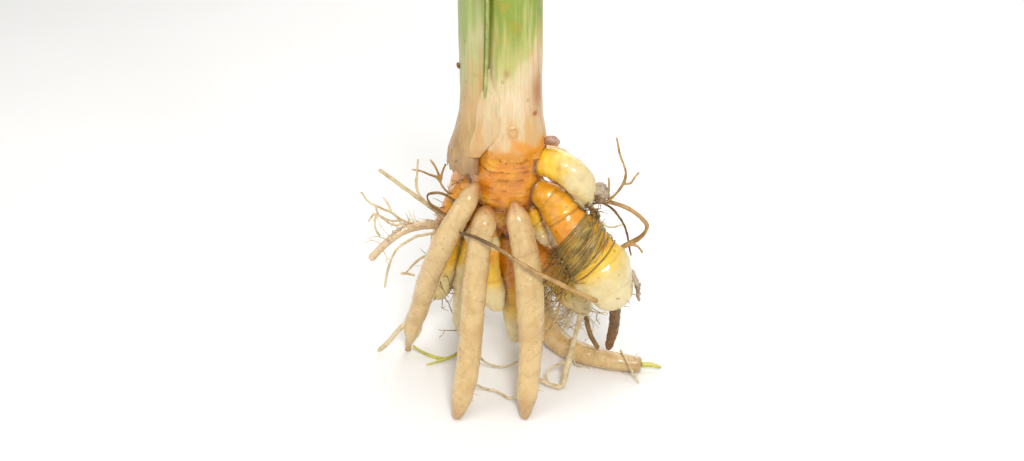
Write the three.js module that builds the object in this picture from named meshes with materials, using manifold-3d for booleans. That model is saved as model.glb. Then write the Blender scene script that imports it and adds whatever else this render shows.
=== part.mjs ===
// A freshly dug turmeric clump: one branching rhizome, the cut base of its leafy shoot,
// fleshy storage roots that it stands on, and the fine roots, buds and dry scales on it.
// Millimetres, +Z up, -Y the side with the three thick roots. It stands on z = 0.
import * as THREE from "three";
import { mergeVertices } from "three/addons/utils/BufferGeometryUtils.js";
import Module from "manifold-3d";

const wasm = await Module();
wasm.setup();

// Driving dimensions
const CUT_HEIGHT = 165; // where the shoot is cut across, above the floor
const GAP = 0.3; // between two pieces that touch
const RHIZOME_SIDES = 12;
const SHOOT_SIDES = 20;
const ROOT_SIDES = 10;
const FINE_SIDES = 5;
const ROUND = 1; // depth of a limb's end over its radius: a half ball
const BLUNT = 0.35; // a slightly domed end
const FLAT = 0; // an end cut straight across
const FINE_ROOT = 0.45; // radius of a fine root
const THREAD = 0.35; // radius of the finest roots

// ---------------------------------------------------------------- solids

function solidOf(geometry) {
  geometry.deleteAttribute("normal");
  geometry.deleteAttribute("uv");
  const merged = mergeVertices(geometry, 1e-4);
  const corners = merged.index.array;
  const triVerts = [];
  for (let i = 0; i < corners.length; i += 3) {
    const [a, b, c] = corners.slice(i, i + 3);
    if (a !== b && b !== c && c !== a) triVerts.push(a, b, c);
  }
  const vertProperties = merged.attributes.position.array;
  return new wasm.Manifold(
    new wasm.Mesh({ numProp: 3, vertProperties, triVerts: new Uint32Array(triVerts) }),
  );
}

function geometryOf(solid) {
  const { vertProperties, triVerts } = solid.getMesh();
  const geometry = new THREE.BufferGeometry();
  geometry.setAttribute("position", new THREE.BufferAttribute(vertProperties, 3));
  geometry.setIndex(new THREE.BufferAttribute(triVerts, 1));
  geometry.computeVertexNormals();
  return geometry;
}

// A box between two corners, as a solid.
function boxBetween(low, high) {
  const size = new THREE.Vector3().subVectors(high, low);
  const middle = new THREE.Vector3().addVectors(low, high).multiplyScalar(0.5);
  const box = new THREE.BoxGeometry(size.x, size.y, size.z);
  return solidOf(box.translate(middle.x, middle.y, middle.z));
}

// Everything below the surface that the clump stands on.
const floorBlock = boxBetween(new THREE.Vector3(-200, -200, -50), new THREE.Vector3(200, 200, 0));

// A closed tapering limb along stations [x, y, z, radius]. Each end is ROUND, BLUNT or FLAT,
// depth and width stretch its section across and along Y, and swell makes it fatter all over.
function limb(stations, options = {}) {
  const { sides = FINE_SIDES, step = 2.2, start = ROUND, end = ROUND, swell = 0 } = options;
  const { depth = 1, width = 1 } = options;
  const curve = new THREE.CatmullRomCurve3(stations.map(([x, y, z]) => new THREE.Vector3(x, y, z)));
  const length = curve.getLength();
  const radii = stations.map((s) => s[3] + swell);
  const radiusAt = (u) => {
    const t = curve.getUtoTmapping(THREE.MathUtils.clamp(u, 0, 1)) * (radii.length - 1);
    const i = Math.min(Math.floor(t), radii.length - 2);
    return THREE.MathUtils.lerp(radii[i], radii[i + 1], THREE.MathUtils.smoothstep(t - i, 0, 1));
  };
  const first = radii[0];
  const last = radii[radii.length - 1];
  const low = -swell;
  const high = length + swell;
  const profile = [new THREE.Vector2(0, low)];
  const capTurns = [0.5, 1];
  for (const turn of start === FLAT ? [1] : capTurns) {
    const angle = (turn * Math.PI) / 2;
    const along = start * first * (1 - Math.cos(angle));
    profile.push(new THREE.Vector2(first * Math.sin(angle), low + along));
  }
  const from = low + start * first;
  const to = high - end * last;
  const thickest = Math.max(...radii) - swell;
  const rings = Math.max(2, Math.round(length / (step * thickest)));
  for (let i = 1; i < rings; i++) {
    const along = from + ((to - from) * i) / rings;
    profile.push(new THREE.Vector2(radiusAt(along / length), along));
  }
  for (const turn of end === FLAT ? [1] : [...capTurns].reverse()) {
    const angle = (turn * Math.PI) / 2;
    const along = end * last * (1 - Math.cos(angle));
    profile.push(new THREE.Vector2(last * Math.sin(angle), high - along));
  }
  profile.push(new THREE.Vector2(0, high));
  const lathe = new THREE.LatheGeometry(profile, sides);
  const place = lathe.attributes.position;
  const depthAxis = new THREE.Vector3();
  const widthAxis = new THREE.Vector3();
  const point = new THREE.Vector3();
  for (let i = 0; i < place.count; i++) {
    const along = place.getY(i);
    const u = THREE.MathUtils.clamp(along / length, 0, 1);
    const tangent = curve.getTangentAt(u);
    depthAxis.set(0, 1, 0).addScaledVector(tangent, -tangent.y).normalize();
    widthAxis.crossVectors(tangent, depthAxis);
    curve.getPointAt(u, point);
    point.addScaledVector(tangent, along - u * length);
    point.addScaledVector(depthAxis, place.getX(i) * depth);
    point.addScaledVector(widthAxis, -place.getZ(i) * width);
    place.setXYZ(i, point.x, point.y, point.z);
  }
  return solidOf(lathe);
}

const joined = (solids) => solids.reduce((a, b) => a.add(b));

// One piece made of one or more limbs grown together, and the same piece a gap larger,
// which is what its neighbours are cut by.
function grown(limbs, options = {}) {
  const make = (swell) => joined(limbs.map((stations) => limb(stations, { ...options, swell })));
  return { solid: make(0), halo: make(GAP) };
}

// ---------------------------------------------------------------- the clump

const clump = new THREE.Group();
const placed = []; // the halos of the pieces placed so far

const material = (color, roughness) =>
  new THREE.MeshStandardMaterial({ color, roughness, metalness: 0 });
const FLESH = material(0xe89a1c, 0.35);
const SHEATH = material(0xd9c08c, 0.45);
const LEAF = material(0xaebb6c, 0.45);
const STORAGE = material(0xd9b878, 0.4);
const PALE = material(0xe6d9b4, 0.55);
const DRY = material(0x8a6a38, 0.7);
const STELE = material(0xdcd65a, 0.4);
const BUD = material(0xc9a695, 0.5);

// Adds a piece, cut back from whatever it touches. Only its largest body is kept.
function place(name, piece, look) {
  let solid = piece.solid.subtract(floorBlock);
  for (const halo of placed) solid = solid.subtract(halo);
  const [body] = solid.decompose().sort((a, b) => b.volume() - a.volume());
  const mesh = new THREE.Mesh(geometryOf(body), look);
  mesh.name = name;
  clump.add(mesh);
  placed.push(piece.halo);
}

// The rhizome: an upright mother with ten fingers and a few buds, all one growth.
const mother = [
  [-0.5, 0, 103.5, 12.8],
  [-0.8, 0, 91, 13.3],
  [-1.8, 0, 80, 13.6],
  [-2.4, 0, 73, 13],
  [-2.6, 0, 66, 10.5],
  [-2.6, -1, 58, 5.5],
];
const fingerUpperRight = [
  [3, 0, 83, 5.2],
  [13, -6, 87.5, 5.6],
  [20.5, -9, 85.5, 6],
  [26, -10, 79.5, 5.7],
  [28.5, -10, 72.5, 4.4],
];
const fingerLargeRight = [
  [3, 0, 75, 4.8],
  [13, -8, 75, 5.6],
  [20.5, -13, 67, 7.6],
  [28, -16, 56, 9.6],
  [35, -18, 45, 11],
  [39.5, -18.5, 33.5, 8.2],
];
const fingerSmallRight = [
  [4, -3, 71, 2.8],
  [7.5, -6, 67, 3.1],
  [10.5, -8, 60, 3.2],
  [13.5, -9, 53.5, 2.4],
];
const fingerLeft = [
  [-9, 1, 77, 4.8],
  [-18.5, 4, 69, 5.4],
  [-24, 6, 54, 5.8],
  [-27.6, 6.5, 37, 6.4],
  [-30.5, 6.5, 19, 5.4],
];
const fingerLowLeft = [
  [-8, 3, 66, 4.6],
  [-13.5, 3.5, 48, 5.6],
  [-16.5, 3, 28, 6.8],
  [-18, 2, 12, 6.3],
  [-19, 1, 2, 3],
];
const fingerCentre = [
  [-5, -1, 66, 3.6],
  [-8, -3.5, 54, 3.8],
  [-8.8, -4.5, 42, 4.2],
  [-7.8, -5.5, 31, 5],
  [-5.2, -6.5, 22, 4],
];
const fingerLowRight = [
  [-2, 4, 63, 3.6],
  [-1.5, 3, 46, 4.4],
  [0, 1.5, 29, 5],
  [1, 0.5, 13, 4.6],
  [1.6, 0, 2.2, 2.6],
];
const fingerUnder = [
  [1, 4, 66, 3.8],
  [8, 5.5, 49, 3.8],
  [15, 3, 37, 4.8],
  [23, 0, 27, 5.8],
  [31, -3, 18.5, 4.2],
];
const fingerBackLeft = [
  [-6, 5, 80, 5.2],
  [-13, 15, 76, 6.4],
  [-17.5, 21, 63, 7.4],
  [-20, 23.5, 49, 7.2],
  [-20.5, 24, 38, 4.4],
];
const fingerBack = [
  [-1, 6, 78, 5.4],
  [0.5, 17, 73, 6.6],
  [1.5, 24, 60, 7.4],
  [1, 26, 46, 5],
];
const fingerBackRight = [
  [5, 4, 82, 5],
  [14, 12, 80, 5.8],
  [21.5, 17, 70, 6.8],
  [25, 19, 58, 6.4],
  [26, 19.5, 49, 4],
];
const budBall = (x, y, z, radius) => [
  [x, y, z + radius, radius],
  [x, y, z - radius, radius],
];
const rhizome = grown(
  [
    mother,
    fingerUpperRight,
    fingerLargeRight,
    fingerSmallRight,
    fingerLeft,
    fingerLowLeft,
    fingerCentre,
    fingerLowRight,
    fingerUnder,
    fingerBackLeft,
    fingerBack,
    fingerBackRight,
    budBall(-5.6, -6.6, 53, 1.7),
    budBall(-28.6, 2.2, 49.5, 1.8),
    budBall(-18.2, 0.2, 53, 2),
    budBall(-25, 1.6, 30, 1.5),
    budBall(5, 32.6, 57, 2.2),
  ],
  { sides: RHIZOME_SIDES, step: 1.05 },
);
place("rhizome", rhizome, FLESH);

// The shoot: leaf sheaths rolled into a stem, an outer leaf's stalk beside it with a strip
// of a torn sheath in the groove between them, and all of it cut straight across.
const shoot = { sides: SHOOT_SIDES, step: 1, start: FLAT, end: FLAT };
const stem = [
  [0.6, 0, CUT_HEIGHT, 10.1],
  [0.5, 0, 147, 10.3],
  [0.4, 0, 125, 10.2],
  [0, 0, 109, 10.8],
  [-0.3, 0, 99, 12.9],
  [-0.6, 0, 90.5, 14.1],
];
place("stem", grown([stem], shoot), SHEATH);

const leafStalk = [
  [-12.2, 0, CUT_HEIGHT, 6],
  [-12.5, 0, 147, 6.1],
  [-12.7, 0, 125, 5.9],
  [-13, 0, 108, 5.8],
  [-14.4, 0, 98, 6.3],
  [-16.4, 0, 90, 7],
  [-17.2, -0.5, 83.5, 7.2],
];
place("outer_leaf_stalk", grown([leafStalk], { ...shoot, depth: 1.5 }), LEAF);

const tornStrip = [
  [-8.2, -7.2, CUT_HEIGHT, 0.9],
  [-8.4, -7.4, 140, 0.9],
  [-9.4, -7.6, 118, 0.8],
  [-10.2, -7.8, 106, 0.5],
];
place("torn_sheath_strip", grown([tornStrip], { sides: 6, step: 9, start: FLAT, depth: 2.6 }), LEAF);

// The storage roots. The first three are at the front, and the last two are at the back.
const storage = { sides: ROOT_SIDES, step: 1.2 };
const storageRoots = {
  storage_root_left: [
    [-12.5, -9, 81, 1.9],
    [-15.5, -12, 76, 3.4],
    [-19.5, -13.5, 69.5, 4.2],
    [-26, -13, 56, 4.5],
    [-32, -10, 39.5, 4.2],
    [-37, -6, 21.5, 3.8],
    [-40.3, -3.5, 10.5, 2.9],
    [-41.8, -2.4, 4, 1.8],
    [-42.4, -2, -0.8, 1.4],
  ],
  storage_root_centre: [
    [-8.8, -9, 70.5, 1.9],
    [-10, -13.5, 67.5, 3.4],
    [-11.6, -16.5, 62, 4.4],
    [-13.6, -22, 46.5, 4.6],
    [-15.2, -29.5, 29.5, 4.5],
    [-17, -37, 15, 4.4],
    [-19.4, -42.5, 4.6, 4],
    [-21, -47, 0.6, 2.2],
  ],
  storage_root_right: [
    [0.2, -11, 75.5, 1.9],
    [1.2, -14, 72, 3.2],
    [2.8, -16.5, 66.5, 4.3],
    [5.4, -21, 54.5, 5.2],
    [6.8, -27, 40.5, 5.3],
    [7, -33, 25, 4.5],
    [6.2, -38.5, 12, 4.1],
    [5.4, -42.5, 4.3, 3.8],
    [4.4, -47, 0.6, 2.1],
  ],
  storage_root_side: [
    [-23, 3.5, 56, 1.5],
    [-28, 0, 57.6, 1.7],
    [-34, -3, 59, 1.8],
    [-40.5, -6, 59, 1.9],
    [-47, -9.5, 55.5, 1.7],
    [-53.5, -13, 49.8, 1.4],
  ],
  storage_root_floor: [
    [0.5, 8, 60, 2.4],
    [4, 13.5, 46, 3.6],
    [8.5, 16, 27, 4.4],
    [12, 10.5, 11, 4.7],
    [18.5, -2, 4.6, 4.6],
    [27, -9, 4, 4.2],
    [38, -13.5, 3.5, 3.8],
    [51, -16, 3, 3.2],
  ],
  storage_root_back_left: [
    [-6, 8, 67, 2],
    [-9.5, 13, 58, 3.6],
    [-12.5, 20, 42, 4.2],
    [-14.5, 26.5, 23, 4],
    [-16, 30.5, 8, 3],
    [-16.6, 31.6, -0.8, 1.9],
  ],
  storage_root_back_right: [
    [2, 10, 66, 2],
    [9, 15, 56, 3.4],
    [16, 22, 38, 4],
    [21.5, 27, 20, 3.7],
    [24, 29.5, 7, 2.8],
    [24.6, 30.2, -0.8, 1.8],
  ],
};
for (const [name, stations] of Object.entries(storageRoots)) {
  const end = name === "storage_root_floor" || name === "storage_root_side" ? FLAT : ROUND;
  place(name, grown([stations], { ...storage, end }), STORAGE);
}

// The yellow core that sticks out of the broken end of the floor root.
const core = [
  [50.2, -16.4, 3.2, 1.2],
  [52.5, -16.6, 3.6, 1.1],
  [55.5, -17, 3.6, 0.95],
  [59, -17.8, 2.8, 0.7],
];
place("root_core", grown([core], { sides: 6, step: 2 }), STELE);

// Buds and dry scales.
const sideBud = [
  [11.5, -4, 95, 1.7],
  [15, -5, 95.6, 1.9],
  [17.4, -5.6, 94.6, 1.5],
];
place("side_bud", grown([sideBud], { sides: 8, step: 1.2 }), BUD);
const tipHusk = [
  [29.5, -9, 74.6, 2.6],
  [32, -8.6, 76.2, 3],
  [34, -8, 74, 2.2],
];
place("tip_husk", grown([tipHusk], { sides: 8, step: 1.2 }), DRY);
const stalkScale = [
  [-17.6, -1.5, 122, 0.9],
  [-19.6, -2, 124.4, 0.8],
];
place("stalk_scale", grown([stalkScale], { sides: 6, step: 1.2, depth: 1.4 }), DRY);
const brownStub = [
  [39.3, -18, 36, 2.3],
  [39.6, -14.5, 20, 2.1],
  [38.6, -13.6, 13, 1.9],
  [38, -13.5, 8.6, 1.6],
];
place("brown_root_stub", grown([brownStub], { sides: 8, step: 2 }), DRY);

// The band of dry scale fibres round the large right finger, in a plane across it.
function bandRound(stations, at, thickness, halfWidth) {
  const curve = new THREE.CatmullRomCurve3(stations.map(([x, y, z]) => new THREE.Vector3(x, y, z)));
  const across = new THREE.BoxGeometry(40, 2 * halfWidth, 40);
  const turn = new THREE.Quaternion();
  turn.setFromUnitVectors(new THREE.Vector3(0, 1, 0), curve.getTangentAt(at));
  const middle = curve.getPointAt(at);
  across.applyQuaternion(turn).translate(middle.x, middle.y, middle.z);
  const slab = solidOf(across);
  const options = { sides: RHIZOME_SIDES, step: 1.05 };
  const shell = (inner, outer) =>
    limb(stations, { ...options, swell: outer }).subtract(
      limb(stations, { ...options, swell: inner }),
    );
  return {
    solid: shell(GAP, GAP + thickness).intersect(slab),
    halo: shell(0, 2 * GAP + thickness).intersect(slab),
  };
}
const tipScale = [
  [44.6, -17, 48, 1.6],
  [47.5, -17.5, 41, 2.2],
  [48.2, -18, 34.5, 1],
];
place("tip_scale", grown([tipScale], { sides: 8, step: 3, depth: 0.9, width: 0.35 }), DRY);
place("fibre_band", bandRound(fingerLargeRight, 0.56, 0.9, 3.2), DRY);

// The fine roots, each one solid with its branches.
const tapered = (points, base = FINE_ROOT, tip = THREAD) =>
  points.map((p, i) => [...p, THREE.MathUtils.lerp(base, tip, i / (points.length - 1))]);
const fineRoots = {
  straight_root: [
    tapered([[-23.5, 1, 58.5], [-30, -2, 66], [-38, -8, 76.4], [-48, -14, 88.4]], 1.1, 0.8),
  ],
  crossing_root: [
    tapered(
      [
        [-20.5, -3, 60], [-19, -18.6, 64.6], [-12.6, -23.2, 65.4], [-5, -26.4, 62.8],
        [1.5, -29, 59], [10, -31, 54.6], [21, -32, 49], [31.5, -33, 44],
      ],
      0.6, 1.05,
    ),
  ],
  left_root_tuft: [
    tapered(
      [
        [-35.5, -4, 60.6], [-41, -6, 62.4], [-45, -8, 67.6], [-50.5, -10, 71.2],
        [-53.2, -10, 73], [-55.4, -11, 77.8],
      ],
    ),
    tapered([[-45, -8, 67.6], [-46.6, -6, 71], [-48.4, -5, 72.4]]),
    tapered(
      [
        [-40.5, -6.4, 61.8], [-44.6, -8, 61.6], [-47.2, -9, 64.4], [-50, -10, 68.4],
        [-50.7, -10, 71.2],
      ],
    ),
    tapered(
      [
        [-41, -6.5, 63], [-46, -9, 64.4], [-48.4, -10, 67], [-51.3, -11, 68.6],
        [-53, -13, 66.4],
      ],
    ),
    tapered([[-50, -10.4, 68.2], [-51.4, -11.6, 63.4], [-49.6, -9.6, 58]]),
  ],
  left_upper_tuft: [
    tapered(
      [
        [-23, 2, 69], [-26.9, 2, 73.4], [-27.6, 2, 76.8], [-31.5, 1, 78.8], [-34.3, 0, 81],
        [-37.4, 0, 81.4],
      ],
    ),
    tapered([[-27.4, 2, 76.2], [-28.4, 2, 81], [-30.6, 3, 84.2]]),
    tapered([[-27.2, 2, 75], [-26.6, 2.4, 78.4], [-25, 3, 82]]),
  ],
  left_climbing_root: [
    tapered(
      [
        [-25, 1, 61], [-29.6, -1, 66.6], [-34, -3, 70.2], [-35.7, -3, 74],
        [-36.2, -2, 77.2], [-35.1, -1, 81.2], [-34.9, 0, 85.8],
      ],
      0.6, THREAD,
    ),
  ],
  left_hooked_root: [
    tapered(
      [
        [-20, -2.4, 68], [-26.8, -3.6, 73.6], [-33, -3.6, 72.2], [-29.4, -5, 68.2],
        [-24.6, -3, 63.4],
      ],
      0.6, THREAD,
    ),
  ],
  left_hanging_root: [
    tapered(
      [
        [-27, 3, 52], [-35, 0, 53.2], [-39.8, -2, 51.8], [-43.6, -3, 49.6],
        [-46.6, -4, 45.4], [-48.3, -4, 39], [-50, -4, 31.6],
      ],
      0.6, 0.45,
    ),
  ],
  left_short_root: [
    tapered([[-28, 4, 43], [-34, 2, 42.6], [-38, 1, 40], [-41.6, 0, 35.8]], 0.55, 0.4),
    tapered([[-43.8, 0, 35.4], [-41.6, 0, 35.6], [-38.2, 0, 34.6]], 0.6, 0.5),
  ],
  pale_floor_root: [
    tapered([[-39.5, -4.5, 18], [-43.7, -6, 14.6], [-48.3, -6, 8.4], [-54, -5, 1.6]], 1, 1.1),
  ],
  yellow_floor_root: [
    tapered(
      [
        [-41, -3, 3.6], [-37.2, -5, 1.8], [-32, -8, 1.2], [-25.4, -9.4, 1.2],
        [-19.6, -5, 2.6], [-18.6, 0, 7],
      ],
      0.55, 0.7,
    ),
    tapered([[-26.6, -9.2, 1.2], [-30, -11.4, 1], [-34.2, -13, 0.9]], 0.5, 0.4),
  ],
  right_upper_root: [
    tapered(
      [
        [30.5, -9.5, 72.4], [36, -8.4, 72.6], [39.4, -9, 76.8], [41, -9, 80.2],
        [41.9, -8, 84.4], [40.4, -7, 88.2], [39, -6, 91.4], [38, -5, 97],
      ],
      0.6, THREAD,
    ),
    tapered([[41, -9, 80.2], [43, -9, 79.4], [44.4, -10, 82.8], [46.3, -10, 85.2]]),
    tapered([[35.5, -8.4, 72.6], [36, -7, 77], [35.6, -6, 81]], THREAD, THREAD),
  ],
  right_kinked_root: [
    tapered(
      [
        [31, -8, 72.6], [37.1, -7, 71.6], [41.1, -9, 70.8], [46, -10, 68.4], [50, -10, 65],
        [52.4, -10, 60.4], [47.4, -9.4, 56.6], [40, -9, 52], [35, -12, 48],
      ],
      0.8, 1.1,
    ),
    tapered([[43, -9, 54], [47.4, -10.6, 54.6], [49.6, -11, 51.6]], 0.5, 0.4),
  ],
  right_thread_root: [
    tapered(
      [
        [30, -8, 71], [35, -6.4, 70.6], [38.8, -6.4, 66.4], [41.8, -6.4, 62.4],
        [43.8, -5, 56.2], [44.8, -4, 50.4], [46, -4, 46],
      ],
      0.5, THREAD,
    ),
  ],
  white_bar_root: [
    tapered([[27, -5, 20.5], [24.8, -13, 14.4], [22, -21, 9.4], [19.6, -29, 1.8]], 1, 1.3),
    tapered([[19.6, -29, 1.8], [14.4, -28, 2.3], [10.4, -26, 3.6]], 1.1, 0.8),
    tapered(
      [
        [21.6, -21.6, 8.6], [17, -21.4, 7], [13.2, -23, 4.6], [13.8, -27.6, 2.4],
      ],
      0.45, 0.4,
    ),
  ],
  forked_brown_root: [
    tapered([[29, -3, 20], [30.2, -8, 14], [31.8, -10.6, 9.6], [34.6, -11.4, 7.8]], 1.1, 1.2),
    tapered([[27.4, -2, 21], [23.4, -3.6, 14.6], [22.4, -5, 9.4]], 0.7, 0.5),
  ],
  tan_thread_root: [
    tapered([[20, -9, 40], [18.6, -16, 32.4], [16, -20, 26.4], [11.8, -23, 20.4]], 0.5, 0.4),
  ],
  right_floor_thread: [
    tapered([[43, -11, 6.4], [44.4, -18, 8], [46.8, -22, 4.4], [49.4, -25, 0.7]], 0.5, 0.4),
    tapered([[42.4, -10.6, 6.6], [42, -11, 10], [48.7, -12, 10.4]], 0.5, 0.4),
  ],
  centre_rootlet_upper: [
    tapered(
      [
        [-13, -22, 11], [-8.6, -16, 3], [-4.6, -16, 1.6], [-2.2, -16, 2], [2.6, -14, 3.4],
      ],
      0.5, 0.4,
    ),
  ],
  centre_rootlet_lower: [
    tapered(
      [
        [-16.6, -35, 10], [-10, -30, 1.6], [-5.2, -31, 1.6], [-1, -35, 0.8], [2.6, -36, 3],
      ],
      0.5, 0.4,
    ),
  ],
  back_root_tuft: [
    tapered([[-12, 22, 60], [-11, 31, 52], [-6, 37, 40], [-8, 41, 26], [-3, 44, 12]], 0.7, 0.4),
    tapered([[-6.6, 37.2, 39.6], [-1, 40, 34], [3, 44, 31]], 0.45, 0.4),
    tapered([[-8, 41, 27], [-14, 43, 20], [-16, 46, 11]], 0.45, 0.4),
  ],
  back_right_tuft: [
    tapered([[22, 20, 62], [29, 27, 56], [35, 31, 44], [36, 33, 30], [41, 35, 18]], 0.7, 0.4),
    tapered([[35, 31, 43], [40, 30, 39], [46, 31, 40]], 0.45, 0.4),
  ],
};
const look = {
  crossing_root: DRY,
  left_hooked_root: DRY,
  forked_brown_root: DRY,
  right_thread_root: DRY,
  yellow_floor_root: STELE,
};
for (const [name, branches] of Object.entries(fineRoots)) {
  place(name, grown(branches, { sides: FINE_SIDES, step: 8 }), look[name] ?? PALE);
}

// The origin is the middle of the clump's box, on the surface that it stands on.
const box = new THREE.Box3().setFromObject(clump);
clump.position.set(-(box.min.x + box.max.x) / 2, -(box.min.y + box.max.y) / 2, -box.min.z);

export default clump;
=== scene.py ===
import heapq
import math

import bmesh
import bpy
import numpy as np
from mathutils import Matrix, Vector, noise
from mathutils.bvhtree import BVHTree


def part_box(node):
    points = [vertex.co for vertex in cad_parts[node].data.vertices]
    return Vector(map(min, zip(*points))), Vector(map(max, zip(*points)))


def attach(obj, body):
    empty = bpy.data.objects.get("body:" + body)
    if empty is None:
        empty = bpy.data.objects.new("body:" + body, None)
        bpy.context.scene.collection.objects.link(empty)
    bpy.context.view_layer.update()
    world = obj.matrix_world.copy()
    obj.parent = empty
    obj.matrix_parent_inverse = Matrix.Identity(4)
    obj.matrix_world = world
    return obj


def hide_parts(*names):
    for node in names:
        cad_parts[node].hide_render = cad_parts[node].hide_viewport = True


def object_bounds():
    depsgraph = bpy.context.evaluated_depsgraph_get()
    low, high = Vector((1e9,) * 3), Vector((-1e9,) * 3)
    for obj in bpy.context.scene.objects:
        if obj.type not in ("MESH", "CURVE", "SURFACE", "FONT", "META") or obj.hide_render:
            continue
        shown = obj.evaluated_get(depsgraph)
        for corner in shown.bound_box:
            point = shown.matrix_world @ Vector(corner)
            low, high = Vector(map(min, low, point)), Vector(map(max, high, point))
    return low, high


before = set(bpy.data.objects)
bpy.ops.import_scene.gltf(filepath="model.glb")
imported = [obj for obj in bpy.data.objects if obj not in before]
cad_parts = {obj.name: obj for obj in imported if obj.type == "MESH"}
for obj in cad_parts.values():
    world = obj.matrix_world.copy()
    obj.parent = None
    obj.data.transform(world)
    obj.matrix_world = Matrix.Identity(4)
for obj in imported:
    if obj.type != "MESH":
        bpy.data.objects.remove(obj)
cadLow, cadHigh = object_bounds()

mm = 0.001
rng = np.random.default_rng(11)
floorHeight = cadLow.z


# ---- camera, lights and floor

camera = {"tilt": 30, "distance": 0.45, "lens": 41.13, "aimHeight": 0.055, "aimAcross": 0.0006}

stemLow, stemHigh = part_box("stem")
aim = (stemLow + stemHigh) / 2
aim.x += camera["aimAcross"]
aim.z = camera["aimHeight"]
tilt = math.radians(camera["tilt"])
cameraData = bpy.data.cameras.new("camera")
cameraData.lens = camera["lens"]
cameraData.clip_start = 0.01
cameraObject = bpy.data.objects.new("camera", cameraData)
cameraObject.location = aim + Vector((0, -math.cos(tilt), math.sin(tilt))) * camera["distance"]
cameraObject.rotation_euler = (math.pi / 2 - tilt, 0, 0)
bpy.context.scene.collection.objects.link(cameraObject)
bpy.context.scene.camera = cameraObject
bpy.context.scene.view_settings.view_transform = "Standard"

lights = {
    "key": {"at": (0.12, -0.62, 0.62), "size": 0.2, "power": 4.3},
    "top": {"at": (0.1, 0.1, 0.95), "size": 0.8, "power": 3.6},
    "left": {"at": (-0.7, -0.2, 0.45), "size": 0.6, "power": 1.7},
    "back": {"at": (0.25, 0.75, 0.5), "size": 0.6, "power": 2.6},
}
for name, light in lights.items():
    lightData = bpy.data.lights.new(name, "AREA")
    lightData.size = light["size"]
    lightData.energy = light["power"]
    lightObject = bpy.data.objects.new(name, lightData)
    lightObject.location = light["at"]
    away = Vector(light["at"]) - Vector((0, 0, 0.07))
    lightObject.rotation_euler = away.to_track_quat("Z", "Y").to_euler()
    bpy.context.scene.collection.objects.link(lightObject)
world = bpy.data.worlds.new("studio")
world.use_nodes = True
world.node_tree.nodes["Background"].inputs["Color"].default_value = (1, 1, 1, 1)
world.node_tree.nodes["Background"].inputs["Strength"].default_value = 0.43
bpy.context.scene.world = world


# ---- shader helpers

def tint(code):
    # a colour code as the renderer's linear colour
    parts = [int(code[i : i + 2], 16) / 255 for i in (0, 2, 4)]
    return (*[p / 12.92 if p < 0.04045 else ((p + 0.055) / 1.055) ** 2.4 for p in parts], 1)


def addNode(tree, kind, inputs=None, **settings):
    node = tree.nodes.new("ShaderNode" + kind)
    for name, value in settings.items():
        setattr(node, name, value)
    for name, value in (inputs or {}).items():
        if isinstance(value, bpy.types.NodeSocket):
            tree.links.new(value, node.inputs[name])
        else:
            node.inputs[name].default_value = value
    return node


def attribute(tree, name):
    return addNode(tree, "Attribute", attribute_name=name).outputs["Fac"]


def mixed(tree, factor, first, second, blend="MIX"):
    node = addNode(tree, "Mix", {0: factor, 6: first, 7: second}, data_type="RGBA", blend_type=blend)
    return node.outputs[2]


def maths(tree, operation, first, second=0.0):
    return addNode(tree, "Math", {0: first, 1: second}, operation=operation).outputs[0]


def between(tree, value, low, high, outLow=0.0, outHigh=1.0):
    # value from low to high, eased to outLow to outHigh
    inputs = {"Value": value, "From Min": low, "From Max": high, "To Min": outLow, "To Max": outHigh}
    return addNode(tree, "MapRange", inputs, interpolation_type="SMOOTHSTEP").outputs[0]


def ramp(tree, factor, stops):
    node = addNode(tree, "ValToRGB", {"Fac": factor})
    node.color_ramp.interpolation = "EASE"
    elements = node.color_ramp.elements
    while len(elements) < len(stops):
        elements.new(0.5)
    for element, (position, code) in zip(elements, stops):
        element.position = position
        element.color = tint(code)
    return node.outputs["Color"]


def objectPlace(tree, squeeze=(1, 1, 1)):
    place = addNode(tree, "TexCoord").outputs["Object"]
    return addNode(tree, "Mapping", {"Vector": place, "Scale": squeeze}).outputs[0]


def newGroup(name, inputs, outputs):
    group = bpy.data.node_groups.new(name, "ShaderNodeTree")
    for socketName, (kind, value) in inputs.items():
        socket = group.interface.new_socket(socketName, in_out="INPUT", socket_type=kind)
        socket.default_value = value
    for socketName, kind in outputs.items():
        group.interface.new_socket(socketName, in_out="OUTPUT", socket_type=kind)
    entry = group.nodes.new("NodeGroupInput")
    leave = group.nodes.new("NodeGroupOutput")
    return group, entry.outputs, leave.inputs


def useGroup(tree, group, values):
    node = addNode(tree, "Group", node_tree=group)
    for name, value in values.items():
        if isinstance(value, bpy.types.NodeSocket):
            tree.links.new(value, node.inputs[name])
        else:
            node.inputs[name].default_value = value
    return node.outputs


# skin that is blotched by soft patches, and freckled by small dark dots
blotches, entry, leave = newGroup(
    "blotches",
    {
        "Base": ("NodeSocketColor", (1, 1, 1, 1)),
        "Patch": ("NodeSocketColor", (0.5, 0.5, 0.5, 1)),
        "Freckle": ("NodeSocketColor", (0.2, 0.1, 0.05, 1)),
        "Patch amount": ("NodeSocketFloat", 0.5),
        "Freckle amount": ("NodeSocketFloat", 0.5),
        "Patches per metre": ("NodeSocketFloat", 120.0),
        "Freckles per metre": ("NodeSocketFloat", 420.0),
    },
    {"Color": "NodeSocketColor", "Mask": "NodeSocketFloat"},
)
place = objectPlace(blotches)
large = addNode(blotches, "TexNoise", {"Vector": place, "Scale": entry["Patches per metre"], "Detail": 5.0, "Roughness": 0.62})
patch = between(blotches, large.outputs[0], 0.42, 0.66)
patchShare = maths(blotches, "MULTIPLY", patch, entry["Patch amount"])
dots = addNode(blotches, "TexVoronoi", {"Vector": place, "Scale": entry["Freckles per metre"], "Randomness": 1.0})
dotMask = between(blotches, dots.outputs["Distance"], 0.1, 0.24, 1.0, 0.0)
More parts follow.
